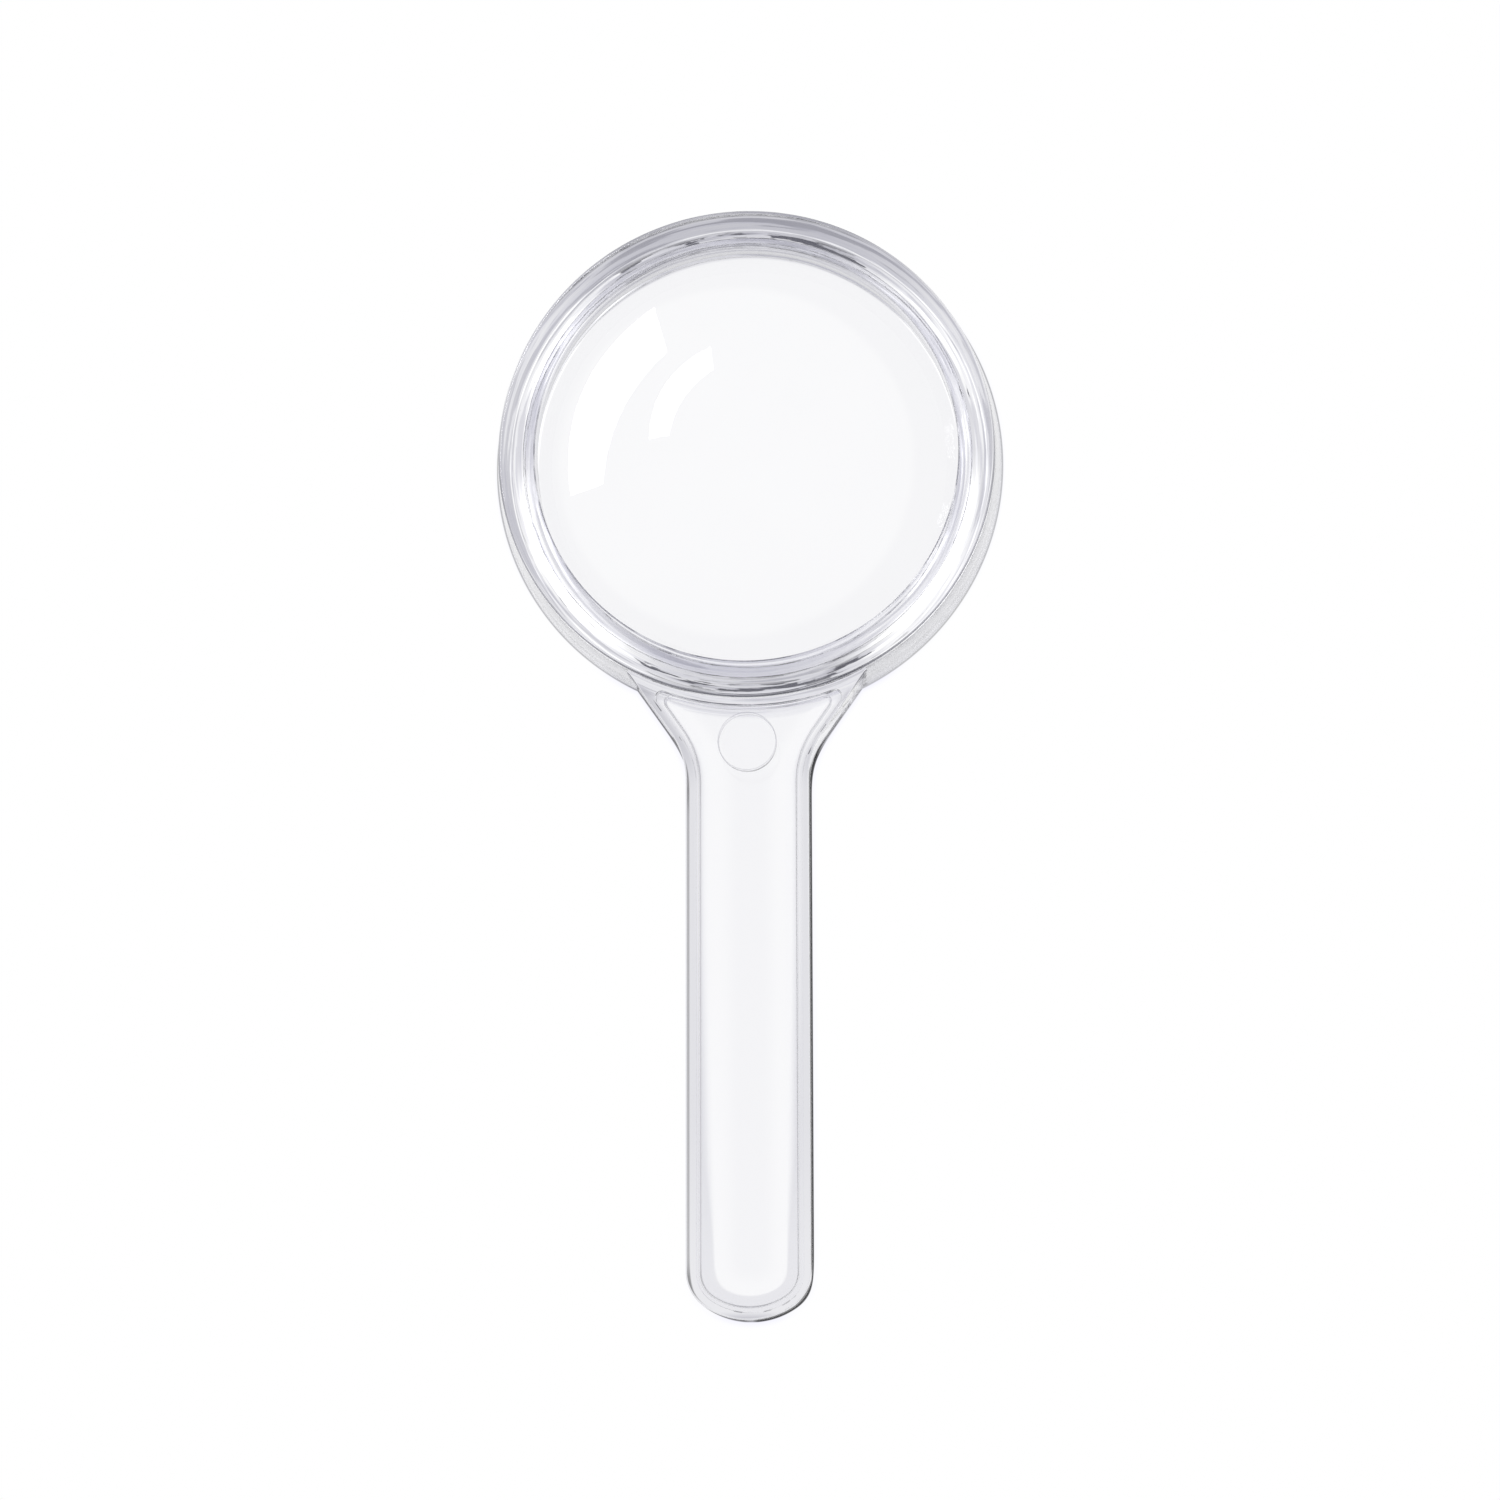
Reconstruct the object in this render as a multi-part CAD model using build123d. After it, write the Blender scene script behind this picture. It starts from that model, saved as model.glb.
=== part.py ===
"""Clear plastic hand magnifier: a ring head with a biconvex lens, and a hollow handle.

Frame: millimetres, +Z up. The magnifier lies on its back, so the optical axis is along +Z and the
handle points along -Y. The origin is the middle of its footprint, on the plane it rests on.
Every shape is first drawn about the optical axis, and is moved to the origin above at the end.
"""
from build123d import *
import os
from math import cos, radians, sin, sqrt

# Driving dimensions: the head
head_radius = 33.0  # outer wall of the ring, at its rear edge
rim_radius = 32.0  # outer wall of the ring, at its front edge
ring_height = 8.2
opening_radius = 27.3  # clear opening in front of the lens
lip_depth = 4.0  # thickness of the front lip, from the rim down to the lens
lens_pocket_radius = 29.1  # bore behind the lip that takes the lens and its retaining ring
edge_round = 0.4  # rounding of the ring's outer front edge
opening_round = 0.2  # rounding of the opening's front edge

# Driving dimensions: the lens and the ring that holds it in
lens_clearance = 0.1  # between the lens edge and its pocket
lens_edge_thickness = 2.0
lens_front_sag = 3.0  # rise of the front face from the lens edge to its middle
lens_rear_sag = 2.0  # the flatter rear face stays clear of the plane the head rests on
retainer_recess = 0.2  # the retaining ring sits this far inside the rear face
bond_gap = 0.03  # room for solvent cement around a bonded piece

# Driving dimensions: the handle
handle_reach = 110.8  # from the optical axis to the end of the handle
handle_half_width = 7.85
handle_height = 7.4
handle_edge_round = 0.2  # the handle's front edge is crisper than the ring's
handle_wall = 1.5
front_wall = 1.5
floor_round = 1.5  # inside rounding between the walls and the front wall
end_crown_radius = 10.0  # gentle arc across the handle's end
end_corner_radius = 5.3  # tighter arcs either side of it
neck_blend_radius = 10.5  # concave arc from the handle's side into the flare
neck_flare_angle = 35.0  # degrees, flare of the neck's flanks from the handle's axis
neck_blend_y = -42.5  # where the handle's straight sides end and the flare begins
neck_flank_length = 11.0  # straight flank, long enough to end inside the ring's wall
neck_fillet = 1.0  # rounding where the flanks meet the ring

# Driving dimensions: the hollow and the cover that closes it
hollow_corner_radius = 0.9
cover_thickness = 1.4
cover_ledge = 0.5  # width of the step that the cover rests on
pad_radius = 3.7  # round ejector pad moulded on the inside of the front wall
pad_height = 1.0
pad_y = -37.6

# Worked out from the above
lens_front_z = ring_height - lip_depth
lens_rear_z = lens_front_z - lens_edge_thickness
hollow_end_radius = head_radius - 0.3  # the hollow stops just inside the ring's outer wall
neck_root_radius = 31.0  # the neck runs this deep into the ring's wall
footprint_centre = Pos(0, (handle_reach - head_radius) / 2, 0)


def turned(outline):
    """A solid of revolution about the optical axis, from (radius, height) points."""
    profile = make_face(Polyline(*outline, close=True))
    return revolve(Plane.XZ * profile, Axis.Z)


def handle_outline(inset):
    """The plan of the neck and handle, drawn this far inside the outer wall."""
    half_width = handle_half_width - inset
    blend = neck_blend_radius + inset
    crown = end_crown_radius - inset
    corner = end_corner_radius - inset
    flare = radians(neck_flare_angle)

    blend_centre = (handle_half_width + neck_blend_radius, neck_blend_y)
    side_top = (half_width, neck_blend_y)
    blend_middle = (
        blend_centre[0] - blend * cos(flare / 2),
        blend_centre[1] + blend * sin(flare / 2),
    )
    flank_low = (blend_centre[0] - blend * cos(flare), blend_centre[1] + blend * sin(flare))
    flank_high = (
        flank_low[0] + neck_flank_length * sin(flare),
        flank_low[1] + neck_flank_length * cos(flare),
    )

    corner_x = handle_half_width - end_corner_radius
    crown_centre_y = end_crown_radius - handle_reach
    centre_gap = end_crown_radius - end_corner_radius
    corner_y = crown_centre_y - sqrt(centre_gap**2 - corner_x**2)
    reach = crown / centre_gap
    crown_side = (corner_x * reach, crown_centre_y + (corner_y - crown_centre_y) * reach)
    corner_low = (half_width, corner_y)
    corner_turn = radians(45)
    corner_middle = (corner_x + corner * cos(corner_turn), corner_y - corner * sin(corner_turn))
    crown_low = (0, crown_centre_y - crown)

    right = [
        Line(flank_high, flank_low),
        ThreePointArc(flank_low, blend_middle, side_top),
        Line(side_top, corner_low),
        ThreePointArc(corner_low, corner_middle, crown_side),
    ]
    left = [mirror(edge, Plane.YZ) for edge in right]
    mirrored_side = (-crown_side[0], crown_side[1])
    crown_arc = ThreePointArc(crown_side, crown_low, mirrored_side)
    chord = Line(flank_high, (-flank_high[0], flank_high[1]))
    return make_face(right + [crown_arc] + left + [chord])


def hollow_outline(inset):
    """The plan of the hollow behind the front wall: it ends on an arc about the optical axis."""
    plan = handle_outline(inset) - Circle(hollow_end_radius - handle_wall + inset)
    plan = plan.faces().sort_by(Axis.Y)[0]
    top_corners = plan.vertices().sort_by(Axis.Y)[-2:]
    return fillet(top_corners, hollow_corner_radius)


def is_neck_corner(edge):
    """Whether an edge is one of the two upright ones where a flank of the neck meets the ring."""
    upright = edge.bounding_box().size.Z > handle_height / 2
    out_from_axis = Vector(edge.center().X, edge.center().Y).length
    return upright and rim_radius < out_from_axis < head_radius and edge.center().Y < 0


def frame_body():
    """The one moulding that is the ring, the neck and the handle's front and sides."""
    ring = turned(
        [
            (lens_pocket_radius, 0),
            (head_radius, 0),
            (rim_radius, ring_height),
            (opening_radius, ring_height),
            (opening_radius, lens_front_z),
            (lens_pocket_radius, lens_front_z),
        ]
    )
    for position, rounding in ((-1, edge_round), (0, opening_round)):
        front_edges = ring.faces().sort_by(Axis.Z)[-1].edges().sort_by(SortBy.RADIUS)
        ring = fillet(front_edges[position], rounding)
    neck_plan = handle_outline(0) - Circle(neck_root_radius)
    handle = extrude(neck_plan, handle_height)
    handle = fillet(handle.faces().sort_by(Axis.Z)[-1].edges(), handle_edge_round)
    outside = ring + handle
    corners = outside.edges().filter_by(is_neck_corner)
    outside = fillet(corners, neck_fillet)

    hollow = extrude(hollow_outline(handle_wall), handle_height - front_wall)
    hollow = fillet(hollow.faces().sort_by(Axis.Z)[-1].edges(), floor_round)
    rebate = extrude(hollow_outline(handle_wall - cover_ledge), cover_thickness)
    pad = Pos(0, pad_y, handle_height - front_wall - pad_height) * Cylinder(
        pad_radius, pad_height, align=(Align.CENTER, Align.CENTER, Align.MIN)
    )
    return outside - hollow - rebate + pad


def bulge(sag):
    """How far a lens face with this rise has dropped from its middle, half way to the opening's edge."""
    face_radius = (opening_radius**2 + sag**2) / (2 * sag)
    half_way = opening_radius / 2
    return face_radius - sqrt(face_radius**2 - half_way**2)


def lens():
    """A biconvex disc with a flat flange around it."""
    flange_radius = lens_pocket_radius - lens_clearance
    axis_front = (0, lens_front_z + lens_front_sag)
    axis_rear = (0, lens_rear_z - lens_rear_sag)
    half_way = opening_radius / 2
    front_middle = (half_way, axis_front[1] - bulge(lens_front_sag))
    rear_middle = (half_way, axis_rear[1] + bulge(lens_rear_sag))
    front_edge = (opening_radius, lens_front_z)
    rear_edge = (opening_radius, lens_rear_z)
    profile = make_face(
        [
            Line(axis_rear, axis_front),
            ThreePointArc(axis_front, front_middle, front_edge),
            Polyline(
                front_edge,
                (flange_radius, lens_front_z),
                (flange_radius, lens_rear_z),
                rear_edge,
            ),
            ThreePointArc(rear_edge, rear_middle, axis_rear),
        ]
    )
    return revolve(Plane.XZ * profile, Axis.Z)


def retaining_ring():
    """The plain ring, pressed in from behind, that holds the lens against the front lip."""
    outer_radius = lens_pocket_radius - bond_gap
    lead_in = 0.3
    return turned(
        [
            (opening_radius, retainer_recess),
            (outer_radius - lead_in, retainer_recess),
            (outer_radius, retainer_recess + lead_in),
            (outer_radius, lens_rear_z),
            (opening_radius, lens_rear_z),
        ]
    )


def handle_back_cover():
    """The flat plate that closes the hollow from behind."""
    return extrude(hollow_outline(handle_wall - cover_ledge + bond_gap), cover_thickness)


pieces = {
    "frame_body": frame_body,
    "lens": lens,
    "retaining_ring": retaining_ring,
    "handle_back_cover": handle_back_cover,
}

os.makedirs("parts", exist_ok=True)
for node, build in pieces.items():
    export_step(footprint_centre * build(), f"parts/{node}.step")
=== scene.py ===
from functools import cached_property
from math import asin, atan2, cos, pi, radians, sin, sqrt, tan

import bmesh
import bpy
from mathutils import Matrix, Vector


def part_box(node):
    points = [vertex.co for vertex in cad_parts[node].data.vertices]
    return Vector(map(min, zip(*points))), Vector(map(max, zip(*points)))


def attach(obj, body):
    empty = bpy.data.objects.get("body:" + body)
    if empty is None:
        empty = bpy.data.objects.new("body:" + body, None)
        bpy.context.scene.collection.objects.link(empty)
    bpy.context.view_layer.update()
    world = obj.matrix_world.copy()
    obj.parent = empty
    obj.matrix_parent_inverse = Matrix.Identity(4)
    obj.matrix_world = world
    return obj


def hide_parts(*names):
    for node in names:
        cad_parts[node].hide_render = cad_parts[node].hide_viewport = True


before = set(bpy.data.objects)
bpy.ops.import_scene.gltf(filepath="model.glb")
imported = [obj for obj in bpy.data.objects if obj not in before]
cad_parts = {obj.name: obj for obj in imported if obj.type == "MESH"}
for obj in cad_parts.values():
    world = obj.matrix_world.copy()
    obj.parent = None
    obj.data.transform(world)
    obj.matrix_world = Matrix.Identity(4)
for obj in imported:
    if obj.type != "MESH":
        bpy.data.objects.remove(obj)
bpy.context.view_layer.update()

# ---------------------------------------------------------------- sizes, in metres, from the frame
MM = 0.001  # one millimetre

lens_low, lens_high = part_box("lens")
body_low, body_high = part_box("frame_body")
retainer_low, retainer_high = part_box("retaining_ring")
cover_low, cover_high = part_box("handle_back_cover")

# The ring and the lens
AXIS_Y = (lens_low[1] + lens_high[1]) / 2  # the optical axis stands at x = 0 and this y
HEAD_RADIUS = body_high[0]
RING_HEIGHT = body_high[2]
RIM_RADIUS = HEAD_RADIUS - 1.0 * MM  # the outer wall leans in towards the front
OPENING_RADIUS = 27.3 * MM
FLANGE_RADIUS = lens_high[0]
POCKET_RADIUS = FLANGE_RADIUS + 0.1 * MM
RETAINER_RADIUS = retainer_high[0]
RETAINER_RECESS = retainer_low[2]
LENS_EDGE_THICKNESS = 2.0 * MM
LENS_REAR_Z = retainer_high[2]
LENS_REAR_SAG = LENS_REAR_Z - lens_low[2]
LENS_FRONT_Z = LENS_REAR_Z + LENS_EDGE_THICKNESS
LENS_FRONT_SAG = lens_high[2] - LENS_FRONT_Z
EDGE_ROUND = 0.4 * MM
OPENING_ROUND = 0.2 * MM

# The neck and the handle
HANDLE_HALF_WIDTH = 7.85 * MM
HANDLE_HEIGHT = 7.4 * MM
HANDLE_REACH = AXIS_Y - body_low[1]
HANDLE_ROUND = 0.2 * MM
END_CROWN = 10.0 * MM
END_CORNER = 5.3 * MM
NECK_BLEND = 10.5 * MM
NECK_FLARE = radians(35)
NECK_BLEND_Y = -42.5 * MM
NECK_FILLET = 1.0 * MM
NECK_ROOT_RADIUS = 31.0 * MM
NECK_MEETS_RADIUS = RIM_RADIUS + 0.5 * MM  # the ring's outer wall half way up

# The hollow, its pad and its cover
WALL = 1.5 * MM
FRONT_WALL = 1.5 * MM
LEDGE = 0.5 * MM
COVER_THICKNESS = cover_high[2]
COVER_GAP = 0.03 * MM
COVER_EDGE = 0.05 * MM  # rounding of the cover's rear edge
HOLLOW_TOP = HANDLE_HEIGHT - FRONT_WALL
HOLLOW_CORNER = 0.9 * MM
HOLLOW_INTO_RING = 0.3 * MM
HOLLOW_END_RADIUS = HEAD_RADIUS - HOLLOW_INTO_RING
FLOOR_ROUND = 1.5 * MM
PAD_RADIUS = 3.7 * MM
PAD_HEIGHT = 1.0 * MM
PAD_Y = -37.6 * MM

# The meshes
AIR_GAP = 0.02 * MM  # between two clear pieces that touch, where light leaves one and enters the other
SUPPORT = 0.03 * MM  # a flat face starts this far inside the rounding around it
CUT_PAST = 1.0 * MM  # a cutting shape runs this far past the face that it cuts
ON_AXIS = 1e-9  # a smaller radius than this is a point on the axis
AROUND = 384  # steps around a full turn


# ---------------------------------------------------------------- mesh helpers
def new_object(name, mesh):
    """A piece of the object from a finished mesh."""
    piece = bpy.data.objects.new(name, mesh)
    bpy.context.scene.collection.objects.link(piece)
    return piece


def solid(name, points, faces):
    """A piece from points and faces, with every face turned outward."""
    mesh = bpy.data.meshes.new(name)
    mesh.from_pydata(points, [], faces)
    shape = bmesh.new()
    shape.from_mesh(mesh)
    bmesh.ops.recalc_face_normals(shape, faces=shape.faces)
    shape.to_mesh(mesh)
    shape.free()
    return new_object(name, mesh)


def lathe(name, profile, centre=(0, AXIS_Y)):
    """A closed solid of revolution about an upright axis, from (radius, height) points.

    A profile that starts on the axis ends on it; any other is closed from its last point to its first."""
    points, faces, rows = [], [], []
    for radius, height in profile:
        if radius < ON_AXIS:
            rows.append([len(points)] * AROUND)
            points.append((centre[0], centre[1], height))
            continue
        rows.append(list(range(len(points), len(points) + AROUND)))
        for step in range(AROUND):
            turn = 2 * pi * step / AROUND
            points.append((centre[0] + radius * cos(turn), centre[1] + radius * sin(turn), height))
    pairs = list(zip(rows, rows[1:]))
    if profile[0][0] >= ON_AXIS:
        pairs.append((rows[-1], rows[0]))
    for low, high in pairs:
        for step in range(AROUND):
            after = (step + 1) % AROUND
            corners = [low[step], low[after], high[after], high[step]]
            faces.append(list(dict.fromkeys(corners)))
    return solid(name, points, faces)


def stack(name, loops):
    """A closed solid from loops with equal numbers of (x, y, z) points; both ends are capped."""
    count = len(loops[0])
    points = [point for loop in loops for point in loop]
    faces = []
    for level in range(len(loops) - 1):
        base = level * count
        for step in range(count):
            after = (step + 1) % count
            faces.append((base + step, base + after, base + count + after, base + count + step))
    faces.append(tuple(reversed(range(count))))
    faces.append(tuple(range(len(points) - count, len(points))))
    return solid(name, points, faces)


def arc(centre, radius, start, end, steps):
    """Points from one angle to another, both ends included."""
    turns = [start + (end - start) * step / steps for step in range(steps + 1)]
    return [(centre[0] + radius * cos(turn), centre[1] + radius * sin(turn)) for turn in turns]


def straight(start, end, steps):
    """Points on a line, without its two ends."""
    shares = [step / steps for step in range(1, steps)]
    across, along = end[0] - start[0], end[1] - start[1]
    return [(start[0] + across * t, start[1] + along * t) for t in shares]


def rounded(corners, steps=6):
    """A closed profile from (radius, height, rounding) corners, each rounding drawn as an arc.

    A point is added just beyond each end of an arc, so that the flat beside it stays flat."""
    profile = []
    for index, (x, y, rounding) in enumerate(corners):
        if rounding == 0:
            profile.append((x, y))
            continue
        here = Vector((x, y))
        before = (Vector(corners[index - 1][:2]) - here).normalized()
        beyond = (Vector(corners[(index + 1) % len(corners)][:2]) - here).normalized()
        half = before.angle(beyond) / 2
        centre = here + (before + beyond).normalized() * (rounding / sin(half))
        first = here + before * (rounding / tan(half))
        last = here + beyond * (rounding / tan(half))
        profile.append(tuple(first + before * SUPPORT))
        start, end = first - centre, last - centre
        turn = start.angle_signed(end)
        for step in range(steps + 1):
            spoke = start.copy()
            spoke.rotate(Matrix.Rotation(-turn * step / steps, 2))
            profile.append(tuple(centre + spoke))
        profile.append(tuple(last + beyond * SUPPORT))
    return profile


def combine(piece, other, operation):
    """Boolean of two pieces, kept on the first; the second is removed."""
    change = piece.modifiers.new("combine", "BOOLEAN")
    change.operation = operation
    change.solver = "EXACT"
    change.object = other
    depsgraph = bpy.context.evaluated_depsgraph_get()
    mesh = bpy.data.meshes.new_from_object(piece.evaluated_get(depsgraph))
    piece.modifiers.clear()
    piece.data = mesh
    bpy.data.objects.remove(other)


def smooth(piece, limit=25):
    """Smooth shading, with edges sharper than this many degrees left crisp."""
    piece.data.shade_smooth()
    piece.data.set_sharp_from_angle(angle=radians(limit))


# ---------------------------------------------------------------- outlines of the handle
def flank_point(inset, along):
    """A point on the right flank of the neck, this far up it from the blend arc."""
    blend = NECK_BLEND + inset
    x = HANDLE_HALF_WIDTH + NECK_BLEND - blend * cos(NECK_FLARE)
    y = NECK_BLEND_Y + blend * sin(NECK_FLARE)
    return (x + along * sin(NECK_FLARE), y + along * cos(NECK_FLARE))


def flank_meets(inset, radius):
    """How far up the flank it meets a circle about the optical axis."""
    x, y = flank_point(inset, 0)
    toward = x * sin(NECK_FLARE) + y * cos(NECK_FLARE)
    return -toward - sqrt(toward**2 - (x * x + y * y - radius * radius))


def below_flank(inset, top):
    """Right half of the handle's plan, from that far up the flank to the middle of the end."""
    blend_centre = (HANDLE_HALF_WIDTH + NECK_BLEND, NECK_BLEND_Y)
    blend_arc = arc(blend_centre, NECK_BLEND + inset, pi - NECK_FLARE, pi, steps=24)
    corner_x = HANDLE_HALF_WIDTH - END_CORNER
    crown_y = END_CROWN - HANDLE_REACH
    centre_gap = END_CROWN - END_CORNER
    corner_y = crown_y - sqrt(centre_gap**2 - corner_x**2)
    crown_turn = atan2(corner_y - crown_y, corner_x)
    corner_arc = arc((corner_x, corner_y), END_CORNER - inset, 0, crown_turn, steps=20)
    crown_arc = arc((0, crown_y), END_CROWN - inset, crown_turn, -pi / 2, steps=14)
    flank = straight(flank_point(inset, top), blend_arc[0], steps=8)
    side = straight(blend_arc[-1], corner_arc[0], steps=30)
    return flank + blend_arc + side + corner_arc + crown_arc[1:]


def closed_loop(right, height):
    """A full outline at one height, from its right half, which starts and ends on the middle line."""
    left = [(-x, y) for x, y in reversed(right[1:-1])]
    return [(x, AXIS_Y + y, height) for x, y in right + left]


def outer_loop(inset, height):
    """The neck and handle from outside, ending inside the ring's wall, with a rounded inner corner."""
    fillet = NECK_FILLET + inset
    top = flank_meets(-NECK_FILLET, NECK_MEETS_RADIUS + NECK_FILLET)
    centre = flank_point(-NECK_FILLET, top)
    centre_turn = atan2(centre[1], centre[0])
    root = arc((0, 0), NECK_ROOT_RADIUS, -pi / 2, centre_turn, steps=24)
    corner = arc(centre, fillet, centre_turn + pi, pi - NECK_FLARE, steps=8)
    return closed_loop(root + corner + below_flank(inset, top), height)


def hollow_loop(inset, rounding, height):
    """The hollow behind the front wall: it stops on an arc about the optical axis."""
    stop = HOLLOW_END_RADIUS - WALL + inset
    top = flank_meets(inset + rounding, stop + rounding)
    centre = flank_point(inset + rounding, top)
    centre_turn = atan2(centre[1], centre[0])
    end = arc((0, 0), stop, -pi / 2, centre_turn, steps=24)
    corner = arc(centre, rounding, centre_turn + pi, -NECK_FLARE, steps=12)
    return closed_loop(end[:-1] + corner + below_flank(inset, top), height)


# ---------------------------------------------------------------- the pieces
def rounded_levels(rounding, steps=6):
    """(inset, drop) pairs from the side of a solid over its rounded edge to its flat end."""
    turns = [pi / 2 * step / steps for step in range(steps + 1)]
    levels = [(rounding * (1 - cos(turn)), rounding * (1 - sin(turn))) for turn in turns]
    levels.insert(0, (0, rounding + SUPPORT))
    levels.append((rounding + SUPPORT, 0))
    return levels


def hollow_solid():
    """The space inside the handle, with its rounded front edge, less the pad in the neck."""
    smallest_corner = 0.12 * MM
    loops = [hollow_loop(WALL, HOLLOW_CORNER, -CUT_PAST)]
    for inset, drop in rounded_levels(FLOOR_ROUND, steps=10):
        corner = max(HOLLOW_CORNER - inset, smallest_corner)
        loops.append(hollow_loop(WALL + inset, corner, HOLLOW_TOP - drop))
    hollow = stack("hollow", loops)
    pad_low = HOLLOW_TOP - PAD_HEIGHT
    pad_high = HOLLOW_TOP + CUT_PAST
    pad = lathe(
        "pad",
        [(0, pad_low), (PAD_RADIUS, pad_low), (PAD_RADIUS, pad_high), (0, pad_high)],
        (0, AXIS_Y + PAD_Y),
    )
    combine(hollow, pad, "DIFFERENCE")
    return hollow


def make_frame_body():
    """Ring, neck and handle front in one clear moulding."""
    body = lathe(
        "frame_moulding",
        rounded(
            [
                (POCKET_RADIUS, 0, 0),
                (HEAD_RADIUS, 0, EDGE_ROUND / 2),
                (RIM_RADIUS, RING_HEIGHT, EDGE_ROUND),
                (OPENING_RADIUS, RING_HEIGHT, OPENING_ROUND),
                (OPENING_RADIUS, LENS_FRONT_Z, 0),
                (POCKET_RADIUS, LENS_FRONT_Z, 0),
            ]
        ),
    )
    loops = [outer_loop(0, 0)]
    for inset, drop in rounded_levels(HANDLE_ROUND):
        loops.append(outer_loop(inset, HANDLE_HEIGHT - drop))
    combine(body, stack("handle", loops), "UNION")
    combine(body, hollow_solid(), "DIFFERENCE")
    rebate_inset = WALL - LEDGE
    rebate = [hollow_loop(rebate_inset, HOLLOW_CORNER, z) for z in (-CUT_PAST, COVER_THICKNESS)]
    combine(body, stack("rebate", rebate), "DIFFERENCE")
    return body


def lens_face(sag, steps=48):
    """(radius, drop) pairs of a spherical lens face, from its middle to the edge of the opening."""
    face_radius = (OPENING_RADIUS**2 + sag**2) / (2 * sag)
    widest = asin(OPENING_RADIUS / face_radius)
    turns = [widest * step / steps for step in range(steps + 1)]
    return [(face_radius * sin(turn), face_radius * (1 - cos(turn))) for turn in turns]


def make_lens():
    """The biconvex lens, with its flat flange."""
    front, rear = LENS_FRONT_Z - AIR_GAP, LENS_REAR_Z
    profile = [(radius, front + LENS_FRONT_SAG - drop) for radius, drop in lens_face(LENS_FRONT_SAG)]
    profile += [(OPENING_RADIUS + SUPPORT, front), (FLANGE_RADIUS, front), (FLANGE_RADIUS, rear)]
    profile.append((OPENING_RADIUS + SUPPORT, rear))
    profile += [(radius, rear - LENS_REAR_SAG + drop) for radius, drop in lens_face(LENS_REAR_SAG)[::-1]]
    return lathe("magnifying_lens", profile)


def make_retaining_ring():
    """The ring behind the lens."""
    top = LENS_REAR_Z - AIR_GAP
    return lathe(
        "lens_retaining_ring",
        rounded(
            [
                (OPENING_RADIUS, RETAINER_RECESS, EDGE_ROUND / 2),
                (RETAINER_RADIUS, RETAINER_RECESS, EDGE_ROUND / 2),
                (RETAINER_RADIUS, top, 0),
                (OPENING_RADIUS, top, 0),
            ]
        ),
    )


def make_cover():
    """The plate that closes the handle from behind."""
    inset = WALL - LEDGE + COVER_GAP
    loops = []
    for extra, drop in reversed(rounded_levels(COVER_EDGE, steps=4)):
        loops.append(hollow_loop(inset + extra, HOLLOW_CORNER, drop))
    top = COVER_THICKNESS - AIR_GAP
    loops.append(hollow_loop(inset, HOLLOW_CORNER, top))
    loops.append(hollow_loop(WALL, HOLLOW_CORNER, top))
    return stack("handle_back_plate", loops)


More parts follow.
